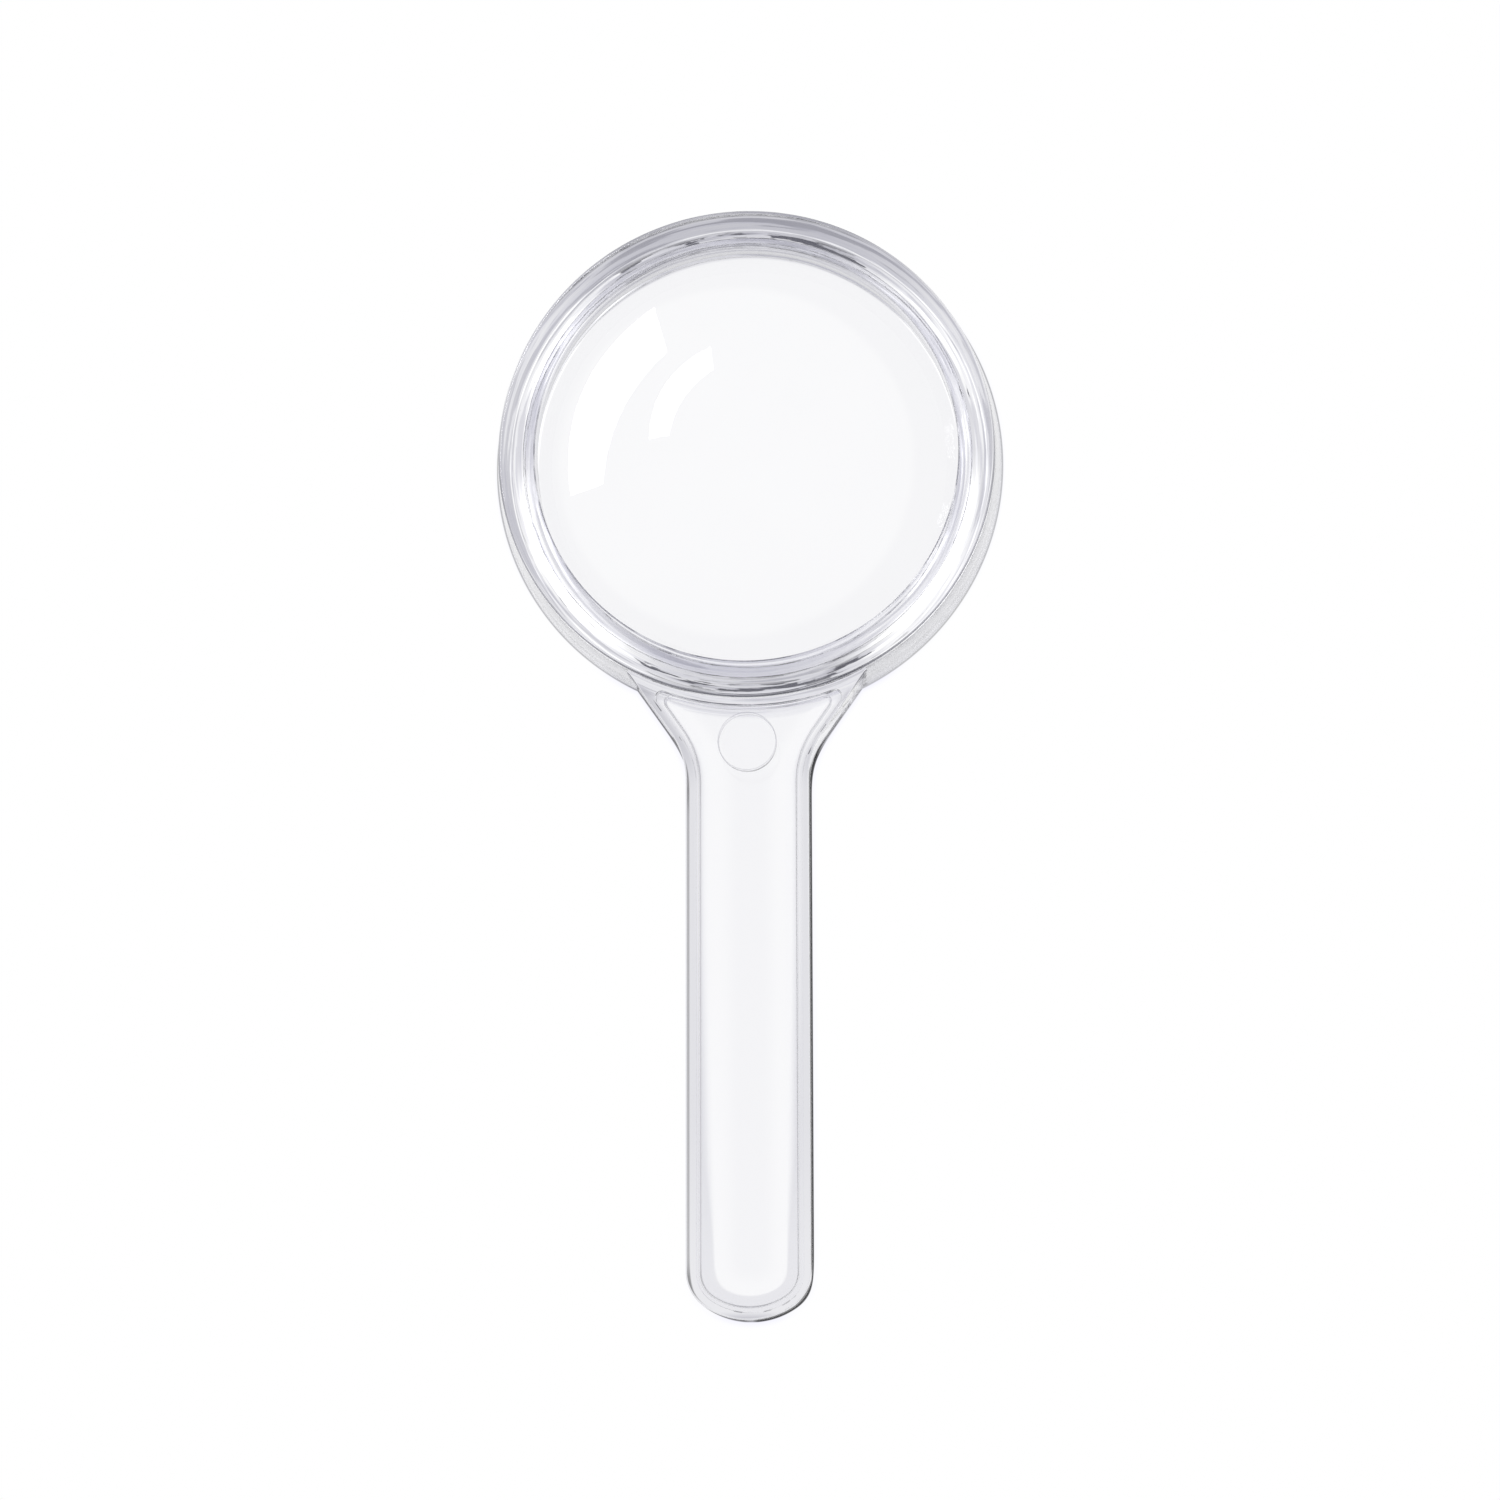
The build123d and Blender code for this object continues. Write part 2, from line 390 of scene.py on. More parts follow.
# ---------------------------------------------------------------- materials
class Graph:
    """Short names for the shader nodes of one material or world."""

    def __init__(self, owner):
        owner.use_nodes = True
        self.nodes = owner.node_tree.nodes
        self.links = owner.node_tree.links
        self.place = self.nodes.new("ShaderNodeTexCoord").outputs

    def feed(self, value, socket):
        """Links a socket to another, or sets it to a plain value."""
        if isinstance(value, bpy.types.NodeSocket):
            self.links.new(value, socket)
        else:
            socket.default_value = value

    def math(self, operation, *values):
        node = self.nodes.new("ShaderNodeMath")
        node.operation = operation
        for value, socket in zip(values, node.inputs):
            self.feed(value, socket)
        return node.outputs[0]

    def chain(self, operation, values):
        """One operation carried through all the values in turn."""
        result = values[0]
        for value in values[1:]:
            result = self.math(operation, result, value)
        return result

    def times(self, *values):
        return self.chain("MULTIPLY", values)

    def total(self, *values):
        return self.chain("ADD", values)

    def largest(self, *values):
        return self.chain("MAXIMUM", values)

    def less(self, value, taken):
        return self.math("SUBTRACT", value, taken)

    def rest_of(self, share):
        """What is left of one after this share."""
        return self.less(1.0, share)

    def length(self, x, y):
        return self.math("SQRT", self.total(self.times(x, x), self.times(y, y)))

    def fade(self, value, start, end, at_start, at_end):
        """A soft change from one value to another between two levels of the input."""
        node = self.nodes.new("ShaderNodeMapRange")
        node.interpolation_type = "SMOOTHSTEP"
        for setting, socket in zip((value, start, end, at_start, at_end), node.inputs):
            self.feed(setting, socket)
        return node.outputs["Result"]

    def band(self, value, start, end, soft, soft_end=None):
        """One between two levels of the input, with soft edges, and nothing elsewhere."""
        soft_end = soft_end or soft
        return self.times(
            self.fade(value, start - soft / 2, start + soft / 2, 0.0, 1.0),
            self.fade(value, end - soft_end / 2, end + soft_end / 2, 1.0, 0.0),
        )

    def split(self, vector):
        node = self.nodes.new("ShaderNodeSeparateXYZ")
        self.links.new(vector, node.inputs[0])
        return node.outputs

    def join(self, x, y, z):
        node = self.nodes.new("ShaderNodeCombineXYZ")
        for value, socket in zip((x, y, z), node.inputs):
            self.feed(value, socket)
        return node.outputs[0]

    def noise(self, vector, scale, detail):
        node = self.nodes.new("ShaderNodeTexNoise")
        node.inputs["Scale"].default_value = scale
        node.inputs["Detail"].default_value = detail
        self.links.new(vector, node.inputs["Vector"])
        return node.outputs["Fac"]

    def blend(self, factor, first, second):
        node = self.nodes.new("ShaderNodeMix")
        node.data_type = "RGBA"
        self.feed(factor, node.inputs["Factor"])
        self.feed((*first, 1) if isinstance(first, tuple) else first, node.inputs["A"])
        self.feed((*second, 1) if isinstance(second, tuple) else second, node.inputs["B"])
        return node.outputs["Result"]

    def bump(self, height, strength, distance):
        node = self.nodes.new("ShaderNodeBump")
        node.inputs["Strength"].default_value = strength
        node.inputs["Distance"].default_value = distance
        self.links.new(height, node.inputs["Height"])
        return node.outputs["Normal"]

    @cached_property
    def spot(self):
        """The point being shaded: x and y from the optical axis, and its height."""
        x, y, height = self.split(self.place["Object"])
        return x, self.less(y, AXIS_Y), height

    @cached_property
    def distance(self):
        """How far the point lies from the optical axis."""
        x, y, _ = self.spot
        return self.length(x, y)

    @cached_property
    def direction(self):
        """The way from the optical axis to the point, as x and y shares."""
        x, y, _ = self.spot
        return self.math("DIVIDE", x, self.distance), self.math("DIVIDE", y, self.distance)

    @cached_property
    def level(self):
        """One where the surface faces straight up or down, and nothing on an upright wall."""
        return self.math("ABSOLUTE", self.split(self.place["Normal"])[2])

    @cached_property
    def past_handle(self):
        """How far outside the plan of the neck and handle the point lies; less than nothing inside."""
        x, y, _ = self.spot
        into_ring = 8 * MM  # the neck is taken to end this far inside the ring's outer wall
        flare_x, flare_y = flank_point(0, 0)
        slope = tan(NECK_FLARE)
        flare = self.math("MULTIPLY_ADD", y, slope, flare_x - flare_y * slope)
        width = self.math("SMOOTH_MAX", flare, HANDLE_HALF_WIDTH, NECK_BLEND / 3)
        past_side = self.less(self.math("ABSOLUTE", x), width)
        above_crown = self.less(y, END_CROWN - HANDLE_REACH)
        past_end = self.length(x, self.math("MINIMUM", above_crown, 0.0))
        past_end = self.less(past_end, self.largest(above_crown, 0.0))
        past_end = self.less(past_end, END_CROWN)
        past = self.math("SMOOTH_MAX", past_side, past_end, END_CORNER / 2)
        return self.largest(past, self.total(y, HEAD_RADIUS - into_ring))

    def drawn_around(self, along, out):
        """Coordinates for a pattern drawn out around the optical axis, finer across it than along it."""
        along_x, along_y = self.direction
        across = self.times(self.distance, out)
        return self.join(self.times(along_x, along), self.times(along_y, along), across)


ACRYLIC_IOR = 1.49
WEAK_IOR = 1.06  # a boundary that hardly bends or mirrors light
NO_BOUNDARY_IOR = 1.0

# What is left of white light at each kind of surface
CLEAR = (0.982, 0.982, 0.99)
# painted shade: uneven streaks of light and shade through the ring
STREAK_SHADE = (0.89, 0.89, 0.93)
# painted shade: the ring's upright side wall, darker than its front
WALL_SHADE = (0.66, 0.66, 0.70)
# painted shade: the dark line along the ring's outer front rounding
RIM_SHADE = (0.10, 0.10, 0.12)
# painted shade: the broken dark line along the opening's front edge
LIP_SHADE = (0.16, 0.16, 0.19)
SMEARED = (0.02, 0.02, 0.03)
PAD_OUTLINE = (0.62, 0.62, 0.66)


def clear(name, ior=ACRYLIC_IOR):
    """A clear material, its graph and its shader."""
    material = bpy.data.materials.new(name)
    graph = Graph(material)
    shader = graph.nodes["Principled BSDF"]
    shader.inputs["Transmission Weight"].default_value = 1.0
    shader.inputs["IOR"].default_value = ior
    return material, graph, shader


def painted_rim_shade(graph, in_ring):
    """Painted shade on the rounding between the ring's front and its side wall, most of all towards the
    handle: the dark edge line that the rounding shows.
    """
    _, along_y = graph.direction
    return graph.times(
        graph.band(graph.level, 0.25, 0.91, 0.2, 0.12),
        in_ring,
        graph.fade(graph.distance, RIM_RADIUS - 1.2 * MM, RIM_RADIUS - 0.6 * MM, 0.0, 1.0),
        graph.fade(along_y, -0.2, 0.3, 1.0, 0.3),
    )


def painted_lip_shade(graph):
    """Painted shade along the front edge of the opening, in broken stretches: the thin dark line that the
    edge shows.
    """
    _, along_y = graph.direction
    _, _, height = graph.spot
    dark_stretches = graph.noise(graph.drawn_around(4.0, 0.0), 1.0, 4)
    return graph.times(
        graph.band(graph.distance, OPENING_RADIUS - 0.1 * MM, OPENING_RADIUS + 0.2 * MM, 0.08 * MM),
        graph.fade(height, RING_HEIGHT - 0.4 * MM, RING_HEIGHT - 0.25 * MM, 0.0, 1.0),
        graph.fade(dark_stretches, 0.44, 0.52, 0.25, 1.0),
        graph.fade(along_y, -0.1, 0.5, 1.0, 0.5),
    )


def cement_behind_lens(graph):
    """Blotches of cement around the lens's pocket, more of them at the front and back of the ring."""
    _, along_y = graph.direction
    blotches = graph.noise(graph.drawn_around(5.0, 2200.0), 1.0, 6)
    fore_and_aft = graph.fade(graph.math("ABSOLUTE", along_y), 0.72, 0.97, 0.0, 1.0)
    more = graph.math("MULTIPLY_ADD", fore_and_aft, 0.15, blotches)
    around_pocket = graph.band(graph.distance, POCKET_RADIUS + 0.3 * MM, POCKET_RADIUS + 1.6 * MM, 0.7 * MM)
    return graph.times(graph.fade(more, 0.64, 0.68, 0.0, 1.0), around_pocket)


def cement_at_cover(graph):
    """Dashes along the cover's joint near both ends of the handle, and a wavy line next to the ring."""
    x, y, _ = graph.spot
    _, along_y = graph.direction
    place = graph.place["Object"]
    joint_inset = WALL - LEDGE
    joint_radius = HOLLOW_END_RADIUS - LEDGE
    near_ends = graph.largest(
        graph.band(y, NECK_BLEND_Y + 2.5 * MM, 1.5 * MM - HEAD_RADIUS, 1 * MM),
        graph.fade(y, 2.8 * MM - HANDLE_REACH, 5.8 * MM - HANDLE_REACH, 1.0, 0.0),
    )
    joint = graph.largest(
        graph.band(graph.past_handle, -joint_inset - 0.1 * MM, -joint_inset + 0.05 * MM, 0.1 * MM),
        graph.band(graph.distance, joint_radius, joint_radius + 0.15 * MM, 0.1 * MM),
    )
    dashes = graph.times(graph.fade(graph.noise(place, 700, 3), 0.52, 0.56, 0.0, 1.0), joint, near_ends)
    wavy = graph.math("MULTIPLY_ADD", graph.noise(place, 260, 3), 0.9 * MM, graph.distance)
    line = graph.times(
        graph.band(wavy, joint_radius + 0.38 * MM, joint_radius + 0.62 * MM, 0.08 * MM),
        graph.fade(graph.math("ABSOLUTE", x), 10.5 * MM, 11.5 * MM, 1.0, 0.0),
        graph.fade(along_y, -0.8, -0.7, 1.0, 0.0),
    )
    return graph.largest(dashes, line)


def pad_outline(graph):
    """A fine line around the foot of the moulded pad."""
    x, y, height = graph.spot
    half_line = 0.06 * MM
    from_pad = graph.length(x, graph.less(y, PAD_Y))
    outline = graph.band(from_pad, PAD_RADIUS - half_line, PAD_RADIUS + half_line, half_line)
    return graph.times(outline, graph.fade(height, 3 * MM, 4 * MM, 0.0, 1.0))


def frame_plastic():
    """Clear moulded plastic, with painted shade in streaks around the ring, on its side wall, along its
    outer front edge and along the opening's lip, and smeared cement behind.
    """
    material, graph, shader = clear("clear_frame")
    place = graph.place["Object"]
    _, _, height = graph.spot
    in_ring = graph.fade(graph.distance, HEAD_RADIUS - 0.2 * MM, HEAD_RADIUS + 1.5 * MM, 1.0, 0.0)
    # painted shade on the ring's upright side wall
    side_wall = graph.times(graph.fade(graph.level, 0.1, 0.3, 1.0, 0.0), in_ring)
    # painted shade in streaks around the ring; the same streaks also give the surface a little relief
    streaks = graph.fade(graph.noise(graph.drawn_around(1.6, 3000.0), 1.0, 3), 0.45, 0.58, 0.0, 1.0)
    streaks = graph.times(streaks, graph.less(in_ring, side_wall))
    on_rear = graph.fade(height, 0.25 * MM, 0.6 * MM, 1.0, 0.0)
    cement = graph.times(graph.largest(cement_behind_lens(graph), cement_at_cover(graph)), on_rear)

    marks = [
        (streaks, STREAK_SHADE),
        (graph.times(side_wall, 0.8), WALL_SHADE),
        # painted shade on the ring's outer front rounding
        (painted_rim_shade(graph, in_ring), RIM_SHADE),
        # painted shade along the opening's front edge
        (painted_lip_shade(graph), LIP_SHADE),
        (cement, SMEARED),
        (pad_outline(graph), PAD_OUTLINE),
    ]
    colour = CLEAR
    for share, mark_colour in marks:
        colour = graph.blend(share, colour, mark_colour)
    graph.feed(colour, shader.inputs["Base Color"])

    haze = graph.fade(graph.noise(place, 90, 6), 0.45, 0.75, 0.0, 0.02)
    graph.feed(graph.math("MULTIPLY_ADD", cement, 0.15, haze), shader.inputs["Roughness"])
    waves = graph.noise(place, 220, 2)
    relief = graph.total(waves, graph.times(streaks, 0.5))
    graph.feed(graph.bump(relief, 0.03, 0.2 * MM), shader.inputs["Normal"])
    return material


def cemented_joint():
    """Uneven solvent cement around the lens: clear and milky stretches, and dark empty ones."""
    material, graph, shader = clear("cemented_joint")
    along_x, along_y = graph.direction
    _, _, height = graph.spot
    turned = graph.join(graph.times(along_x, 9.0), graph.times(along_y, 9.0), graph.times(height, 450.0))
    voids = graph.noise(turned, 1.0, 5)
    graph.feed(graph.fade(voids, 0.48, 0.60, 0.0, 0.12), shader.inputs["Roughness"])
    gaps = graph.fade(voids, 0.54, 0.60, 0.0, 1.0)
    graph.feed(graph.blend(gaps, (0.98, 0.98, 0.99), (0.28, 0.28, 0.31)), shader.inputs["Base Color"])
    graph.feed(graph.bump(voids, 0.25, 0.3 * MM), shader.inputs["Normal"])
    return material


def hollow_wall():
    """The inside of the hollow, where a weak boundary keeps total reflection from drawing dark lines."""
    material, graph, shader = clear("hollow_wall", WEAK_IOR)
    patches = graph.noise(graph.place["Object"], 300, 4)
    graph.feed(graph.blend(patches, (0.99, 0.99, 1.0), (0.95, 0.95, 0.97)), shader.inputs["Base Color"])
    graph.feed(graph.fade(patches, 0.3, 0.7, 0.02, 0.06), shader.inputs["Roughness"])
    return material


def filled_joint():
    """Solvent cement that fills the cover's joint, so that light passes straight on into the next piece."""
    material, graph, shader = clear("filled_joint", NO_BOUNDARY_IOR)
    patches = graph.noise(graph.place["Object"], 400, 4)
    graph.feed(graph.blend(patches, (1.0, 1.0, 1.0), (0.94, 0.94, 0.96)), shader.inputs["Base Color"])
    shader.inputs["Roughness"].default_value = 0.0
    return material


def lens_plastic():
    """Polished optical plastic, very slightly uneven in its tint and polish."""
    material, graph, shader = clear("clear_lens")
    patches = graph.noise(graph.place["Object"], 60, 4)
    tint = graph.blend(patches, (0.985, 0.985, 0.995), (0.955, 0.955, 0.97))
    graph.feed(tint, shader.inputs["Base Color"])
    graph.feed(graph.fade(patches, 0.5, 0.8, 0.0, 0.015), shader.inputs["Roughness"])
    return material


# ---------------------------------------------------------------- where each joint's material goes
UPRIGHT = 0.2  # a face whose normal has no more height than this is an upright wall
JOINT_MARGIN = 0.05 * MM  # a face this close to a joint belongs to it


def inside_handle(x, y):
    """How far inside the outline of the neck and handle a point lies, by its straight sides and arcs."""
    x = abs(x)
    flare_x, flare_y = flank_point(0, 0)
    corner_x = HANDLE_HALF_WIDTH - END_CORNER
    crown_y = END_CROWN - HANDLE_REACH
    corner_y = crown_y - sqrt((END_CROWN - END_CORNER) ** 2 - corner_x**2)
    if y > flare_y - (x - flare_x) * tan(NECK_FLARE):
        return -((x - flare_x) * cos(NECK_FLARE) - (y - flare_y) * sin(NECK_FLARE))
    if y > NECK_BLEND_Y:
        blend_centre = (HANDLE_HALF_WIDTH + NECK_BLEND, NECK_BLEND_Y)
        return sqrt((x - blend_centre[0]) ** 2 + (y - blend_centre[1]) ** 2) - NECK_BLEND
    if y > corner_y:
        return HANDLE_HALF_WIDTH - x
    if x * (crown_y - corner_y) > corner_x * (crown_y - y):
        return END_CORNER - sqrt((x - corner_x) ** 2 + (y - corner_y) ** 2)
    return END_CROWN - sqrt(x**2 + (y - crown_y) ** 2)


def at_lens_joint(normal, x, y, z):
    """The upright walls where the frame, the lens and its retaining ring meet."""
    radius = sqrt(x * x + y * y)
    nearest = min(abs(radius - joint) for joint in (POCKET_RADIUS, FLANGE_RADIUS, RETAINER_RADIUS))
    return abs(normal.z) <= UPRIGHT and nearest < 0.03 * MM


def at_cover_joint(normal, x, y, z):
    """The step in the frame's rear and the edge of the cover that is cemented into it."""
    if not 2 * JOINT_MARGIN < z < COVER_THICKNESS + JOINT_MARGIN or y > 3 * MM - HEAD_RADIUS:
        return False
    step_in = WALL - LEDGE
    inset = inside_handle(x, y)
    if abs(normal.z) < UPRIGHT:
        return abs(inset - step_in) < 0.06 * MM
    return step_in - 2 * JOINT_MARGIN < inset < WALL + 0.01 * MM


def on_hollow_wall(normal, x, y, z):
    """The side walls of the hollow and the rounding at their front, but not the pad."""
    if not COVER_THICKNESS + JOINT_MARGIN < z < HOLLOW_TOP - 0.001 * MM or y >= 6 * MM - HEAD_RADIUS:
        return False
    past_end = sqrt(x * x + y * y) - HOLLOW_END_RADIUS
    inset = min(inside_handle(x, y), past_end + WALL)
    return WALL - 2 * JOINT_MARGIN < inset < WALL + FLOOR_ROUND + JOINT_MARGIN


def mark(piece, material, chosen):
    """Gives a material to the faces that a test picks by normal, x, y from the optical axis, and height."""
    piece.data.materials.append(material)
    slot = len(piece.data.materials) - 1
    for face in piece.data.polygons:
        x, y, z = face.center
        if chosen(face.normal, x, y - AXIS_Y, z):
            face.material_index = slot


frame_look = frame_plastic()
lens_look = lens_plastic()
at_lens = (cemented_joint(), at_lens_joint)
at_cover = (filled_joint(), at_cover_joint)
in_hollow = (hollow_wall(), on_hollow_wall)
made = [
    (make_frame_body(), "frame_body", "clear_frame", frame_look, (at_lens, at_cover, in_hollow)),
    (make_lens(), "lens", "clear_lens", lens_look, (at_lens,)),
    (make_retaining_ring(), "retaining_ring", "clear_retainer", frame_look, (at_lens,)),
    (make_cover(), "handle_back_cover", "clear_cover", frame_look, (at_cover,)),
]
for piece, node, slot, look, joints in made:
    smooth(piece)
    piece.data.materials.clear()
    piece.data.materials.append(look)
    for material, chosen in joints:
        mark(piece, material, chosen)
    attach(piece, "root")
    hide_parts(node)


# ---------------------------------------------------------------- stage, light and camera
PALE_PAPER = 1.0  # the paper and the walls where the camera sees them directly
PALE_WALLS = 0.86
PAPER_GLOW = 0.99  # the paper where light from it passes through or off the object
PAPER_SIZE = 8
PAPER_GAP = 0.2 * MM
PAPER_SHADE = (0.82, 0.815, 1.0)  # tint of a full shade on the paper
OVERHEAD = 0.9
LIGHT_HEIGHT = 1.0  # of the strip lights


def seen_directly(graph, pale, other):
    """One strength where the camera looks straight at it, another for light through or off the object."""
    path = graph.nodes.new("ShaderNodeLightPath")
    mix = graph.nodes.new("ShaderNodeMix")
    graph.feed(path.outputs["Is Camera Ray"], mix.inputs[0])
    graph.feed(other, mix.inputs[2])
    graph.feed(pale, mix.inputs[3])
    return mix.outputs[0]


def paper_light(graph, outside):
    """How brightly the paper is lit: under the object, past its two ends, far off and beside the handle."""
    _, y, _ = graph.spot
    past_ends = graph.largest(graph.less(y, HEAD_RADIUS), graph.less(-HANDLE_REACH, y))
    return graph.largest(
        graph.fade(past_ends, 2 * MM, 9 * MM, 0.95, 0.15),
        graph.fade(outside, 1 * MM, 3 * MM, 1.0, 0.0),
        graph.fade(outside, 60 * MM, 150 * MM, 0.0, 0.7),
        graph.fade(y, -48 * MM, -38 * MM, 0.9, 0.0),
    )


def ring_shade(graph):
    """The shade under the ring's wall and the lens's pocket, with streaks and focused light in it."""
    _, along_y = graph.direction
    distance = graph.distance
    wall_starts = 30.6 * MM
    in_pocket = graph.band(distance, OPENING_RADIUS - 0.1 * MM, wall_starts, 0.6 * MM)
    in_wall = graph.band(distance, wall_starts, HEAD_RADIUS + 0.1 * MM, 0.6 * MM, 1.4 * MM)
    fore_and_aft = graph.fade(graph.times(along_y, along_y), 0.45, 0.95, 0.0, 1.0)
    far_side = graph.fade(along_y, 0.5, 0.97, 0.0, 0.26)
    drawn = graph.noise(graph.drawn_around(1.6, 1900.0), 1.0, 3)
    streaks = graph.fade(drawn, 0.50, 0.57, 0.0, 1.0)
    focused = graph.fade(drawn, 0.40, 0.46, 1.0, 0.0)
    bright_ring = graph.band(distance, 28.6 * MM, 30.2 * MM, 0.5 * MM)
    fine_ring = graph.band(distance, 30.9 * MM, 31.05 * MM, 0.12 * MM)
    return graph.total(
        graph.times(in_wall, graph.total(far_side, 0.14)),
        graph.times(in_pocket, fore_and_aft, 0.26),
        graph.times(graph.total(in_wall, in_pocket), streaks, 0.22),
        graph.times(in_pocket, focused, graph.rest_of(fore_and_aft), -0.45),
        graph.times(bright_ring, graph.band(along_y, -0.8, -0.1, 0.3), -0.5),
        graph.times(fine_ring, -0.4),
    )


def lens_shade(graph):
    """A faint shade under the lens's edge, around the bright disc that the lens throws on the paper."""
    x, y, _ = graph.spot
    disc_x, disc_y = -1.7 * MM, 0.4 * MM
    from_disc = graph.length(graph.less(x, disc_x), graph.less(y, disc_y))
    return graph.times(
        graph.fade(from_disc, 22.0 * MM, 23.4 * MM, 0.0, 0.028),
        graph.fade(graph.distance, 26.9 * MM, 27.5 * MM, 1.0, 0.0),
    )


def handle_shade(graph):
    """The shade under the handle's walls and neck, sharper towards the end, and a trace in its middle."""
    _, y, _ = graph.spot
    past_handle = graph.past_handle
    below_ring = graph.times(
        graph.fade(graph.distance, HEAD_RADIUS - 0.5 * MM, HEAD_RADIUS + 0.3 * MM, 0.0, 1.0),
        graph.fade(y, -29 * MM, -26 * MM, 1.0, 0.0),
    )
    band_start = graph.fade(y, -105 * MM, -50 * MM, -3.4 * MM, -2.4 * MM)
    band_soft = graph.fade(y, -104 * MM, -86 * MM, 0.5 * MM, 1.8 * MM)
    along_walls = graph.fade(graph.less(past_handle, band_start), 0.0, band_soft, 0.0, 1.0)
    in_neck = graph.fade(y, -44 * MM, -37 * MM, 0.0, 0.14)
    in_grip = graph.fade(y, -106 * MM, -84 * MM, 0.14, 0.20)
    return graph.total(
        graph.times(along_walls, below_ring, graph.total(in_neck, in_grip)),
        graph.fade(y, 1.3 * MM - HANDLE_REACH, -HANDLE_REACH, 0.0, 0.3),
        graph.times(graph.fade(past_handle, -6.5 * MM, -4.0 * MM, 0.035, 0.0), below_ring),
    )


def contact_shade(graph):
    """How dark the line of contact around the object is: darkest to the right of the handle."""
    x, y, _ = graph.spot
    on_right = graph.times(
        graph.fade(x, 0.0, 1 * MM, 0.0, 1.0),
        graph.fade(y, -38.5 * MM, -36 * MM, 1.0, 0.0),
    )
    flare_or_tip = graph.largest(
        graph.band(y, -45 * MM, -29 * MM, 4 * MM),
        graph.fade(y, -106 * MM, -103 * MM, 1.0, 0.0),
    )
    on_left = graph.times(graph.fade(x, -1 * MM, 0.0, 1.0, 0.0), flare_or_tip)
    darkness = graph.total(graph.times(on_right, 0.45), graph.times(on_left, 0.25), 0.45)
    return darkness, on_right


def make_floor():
    """A sheet of plain white paper, lit evenly, with the light and shade that the object throws on it."""
    bpy.ops.mesh.primitive_plane_add(size=PAPER_SIZE, location=(0, 0, -PAPER_GAP))
    floor = bpy.context.object
    floor.name = "floor"
    material = bpy.data.materials.new("white_floor")
    graph = Graph(material)
    graph.nodes.remove(graph.nodes["Principled BSDF"])

    outside = graph.math("MINIMUM", graph.less(graph.distance, HEAD_RADIUS), graph.past_handle)
    under_object = graph.fade(outside, 0.0, 1 * MM, 1.0, 0.0)
    shade = graph.total(ring_shade(graph), lens_shade(graph), handle_shade(graph))
    kept = graph.rest_of(graph.times(shade, under_object))

    darkness, on_right = contact_shade(graph)
    reach = graph.math("MULTIPLY_ADD", on_right, 0.15 * MM, 0.1 * MM)
    contact = graph.times(
        graph.fade(outside, -0.25 * MM, -0.05 * MM, 0.0, 1.0),
        graph.fade(graph.less(outside, reach), 0.0, 0.1 * MM, 1.0, 0.0),
        darkness,
    )
    glow = graph.times(kept, paper_light(graph, outside), PAPER_GLOW, graph.rest_of(contact))
    open_edge = graph.times(graph.band(outside, -0.1 * MM, 0.1 * MM, 0.1 * MM), darkness)
    pale = graph.times(graph.rest_of(open_edge), PALE_PAPER)

    paper = graph.nodes.new("ShaderNodeEmission")
    graph.feed(seen_directly(graph, pale, glow), paper.inputs["Strength"])
    graph.feed(graph.blend(kept, PAPER_SHADE, (1.0, 1.0, 1.0)), paper.inputs["Color"])
    graph.links.new(paper.outputs["Emission"], graph.nodes["Material Output"].inputs["Surface"])
    floor.data.materials.append(material)


def make_world():
    """A soft dome: white overhead, bright all around just above the horizon, dark at the horizon itself."""
    world = bpy.data.worlds.new("studio")
    bpy.context.scene.world = world
    graph = Graph(world)
    x, y, z = graph.split(graph.place["Generated"])
    above_horizon = graph.fade(z, 0.0, 0.12, 0.1, 1.0)
    left_and_right = graph.fade(graph.math("ABSOLUTE", x), 0.4, 0.8, 0.0, 1.0)
    front_and_back = graph.fade(graph.math("ABSOLUTE", y), 0.4, 0.8, 0.0, 0.75)
    around = graph.times(graph.largest(left_and_right, front_and_back), above_horizon)
    overhead = graph.fade(z, 0.1, 1.0, 0.04, OVERHEAD)
    background = graph.nodes["Background"]
    background.inputs["Color"].default_value = (1, 1, 1, 1)
    strength = seen_directly(graph, PALE_WALLS, graph.largest(around, overhead))
    graph.feed(strength, background.inputs["Strength"])


def bowed(start, end, bow, steps=16):
    """Points from start to end along an arc that bows this far to the left of the way there."""
    start, end = Vector(start), Vector(end)
    chord = end - start
    left = Vector((-chord.y, chord.x)).normalized()
    points = []
    for step in range(steps + 1):
        t = step / steps
        points.append(start + chord * t + left * (bow * 4 * t * (1 - t)))
    return points


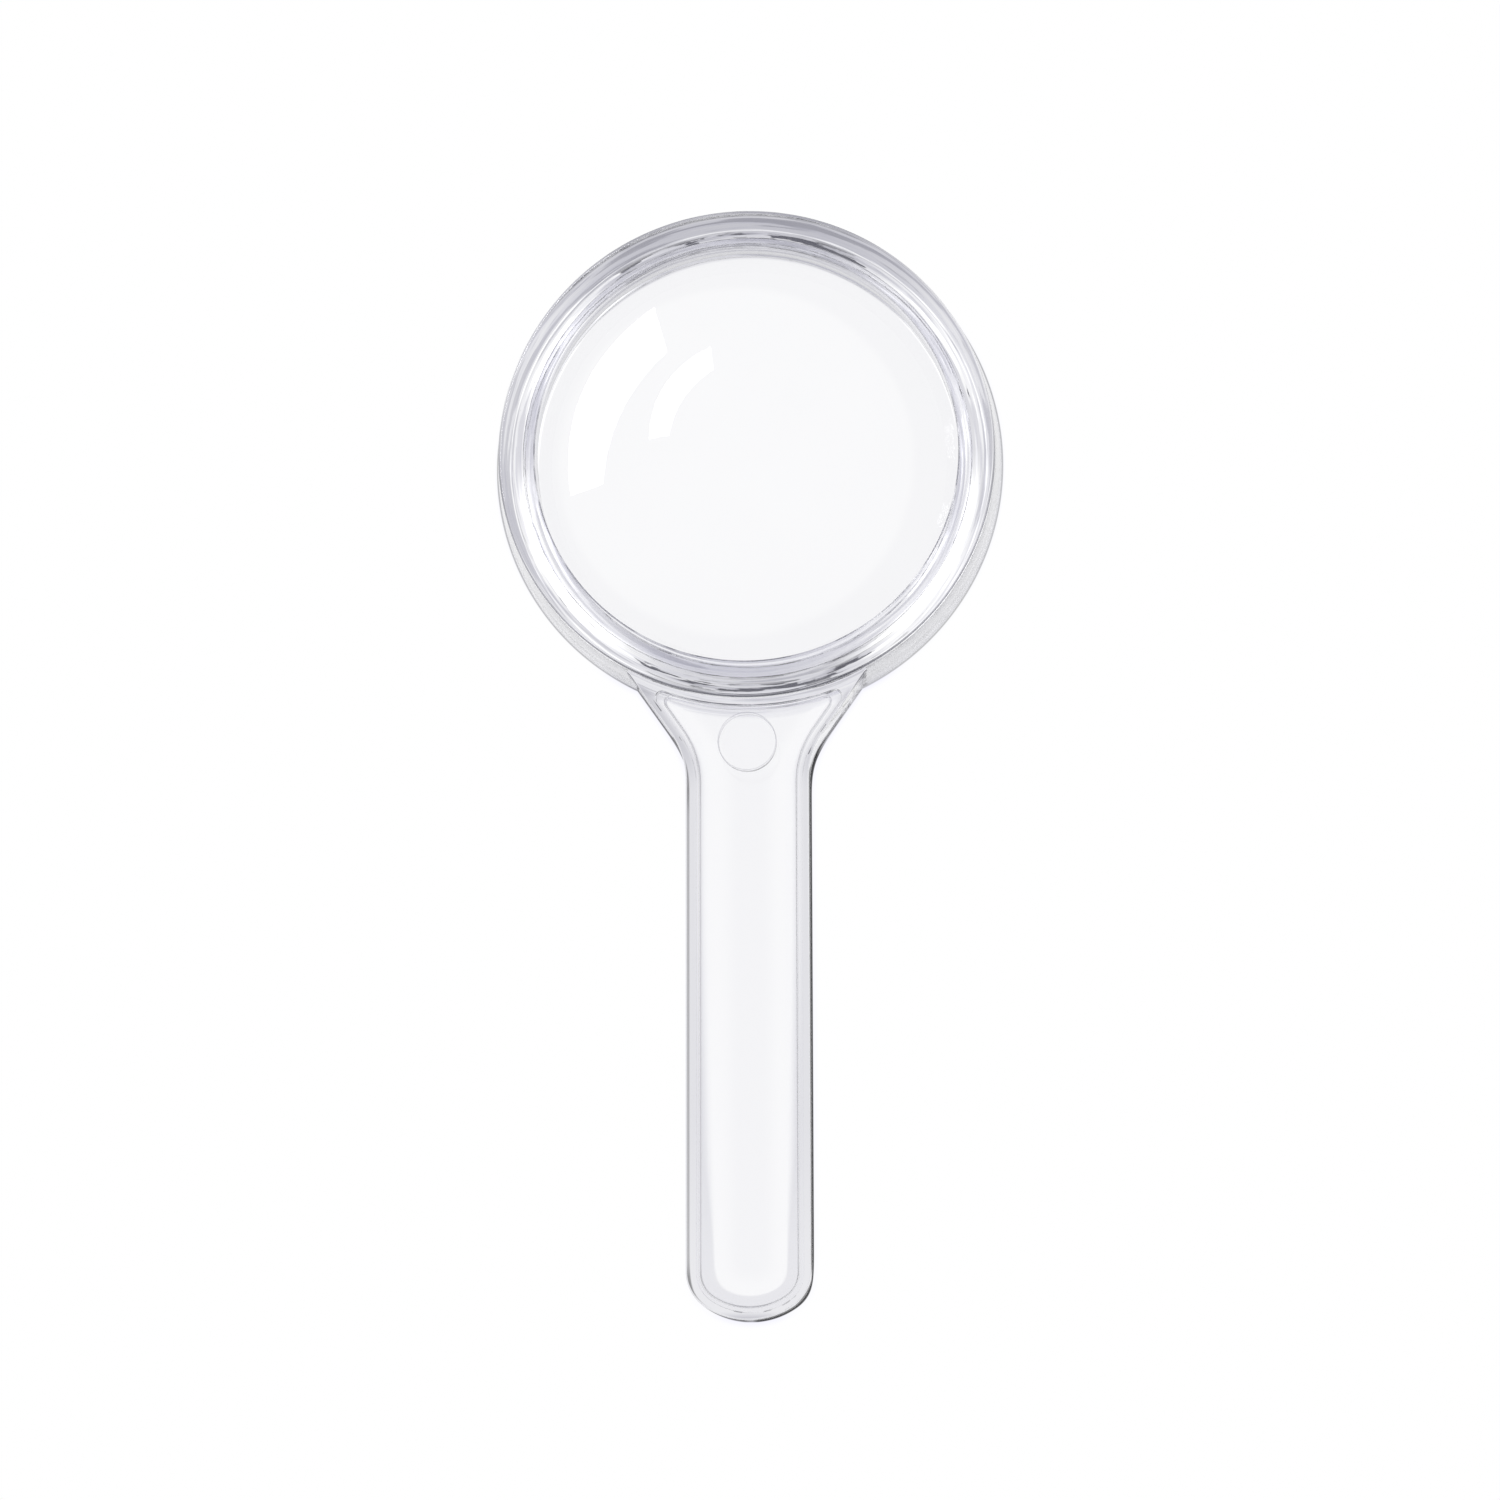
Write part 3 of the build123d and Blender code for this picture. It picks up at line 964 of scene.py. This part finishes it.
def bent_light(name, outer, inner, strength):
    """A bent strip of light overhead, mirrored only by the surfaces that face it.

    Each of its two long edges has a start and an end, from above the lens, and the depth of its bow."""
    rim = bowed(*outer) + bowed(*inner)[::-1]
    centre = Vector((0, AXIS_Y))
    points = [(*(centre + point), LIGHT_HEIGHT) for point in rim]
    count = len(points) // 2
    faces = []
    for step in range(count - 1):
        faces.append((step, step + 1, 2 * count - 2 - step, 2 * count - 1 - step))
    mesh = bpy.data.meshes.new(name)
    mesh.from_pydata(points, [], faces)
    lamp = new_object(name, mesh)
    material = bpy.data.materials.new(name)
    material.use_nodes = True
    nodes, links = material.node_tree.nodes, material.node_tree.links
    nodes.remove(nodes["Principled BSDF"])
    glow = nodes.new("ShaderNodeEmission")
    glow.inputs["Strength"].default_value = strength
    links.new(glow.outputs["Emission"], nodes["Material Output"].inputs["Surface"])
    mesh.materials.append(material)
    lamp.visible_camera = False
    lamp.visible_diffuse = False
    lamp.visible_transmission = False
    lamp.visible_shadow = False


CAMERA_DISTANCE = 551.6 * MM
CAMERA_TURN = radians(3.0)  # to the right of the handle's axis
CAMERA_TILT = radians(9.06)  # from straight above, towards the handle
CAMERA_ROLL = radians(-0.15)
CAMERA_LENS = 102.5  # focal length in millimetres
CAMERA_SENSOR = 36  # width in millimetres
CAMERA_AIM = Vector((0.0, AXIS_Y - 37.6 * MM, 0))


def make_camera():
    """The camera, almost straight above the middle of the magnifier."""
    camera = bpy.data.objects.new("camera", bpy.data.cameras.new("camera"))
    bpy.context.scene.collection.objects.link(camera)
    camera.data.lens = CAMERA_LENS
    camera.data.sensor_width = CAMERA_SENSOR
    back = Vector(
        (
            sin(CAMERA_TURN) * cos(CAMERA_TILT),
            -sin(CAMERA_TILT),
            cos(CAMERA_TURN) * cos(CAMERA_TILT),
        )
    ).normalized()
    right = Vector((0, 1, 0)).cross(back).normalized()
    up = back.cross(right)
    rolled_right = right * cos(CAMERA_ROLL) + up * sin(CAMERA_ROLL)
    rolled_up = up * cos(CAMERA_ROLL) - right * sin(CAMERA_ROLL)
    turn = Matrix((rolled_right, rolled_up, back)).transposed()
    camera.matrix_world = Matrix.Translation(CAMERA_AIM + back * CAMERA_DISTANCE) @ turn.to_4x4()
    bpy.context.scene.camera = camera


make_floor()
make_world()
STRIP_STRENGTH = 8.0
bent_light(
    "large_strip",
    ((-0.513, 0.155), (-0.316, 0.700), 0.088),
    ((-0.418, 0.176), (-0.265, 0.534), 0.038),
    STRIP_STRENGTH,
)
bent_light(
    "small_strip",
    ((-0.298, 0.282), (-0.149, 0.539), 0.046),
    ((-0.245, 0.288), (-0.139, 0.466), 0.023),
    STRIP_STRENGTH,
)
make_camera()

scene = bpy.context.scene
scene.view_settings.view_transform = "Standard"
scene.cycles.max_bounces = 16
scene.cycles.transmission_bounces = 16
scene.cycles.glossy_bounces = 8
scene.cycles.use_denoising = True

bpy.context.view_layer.update()
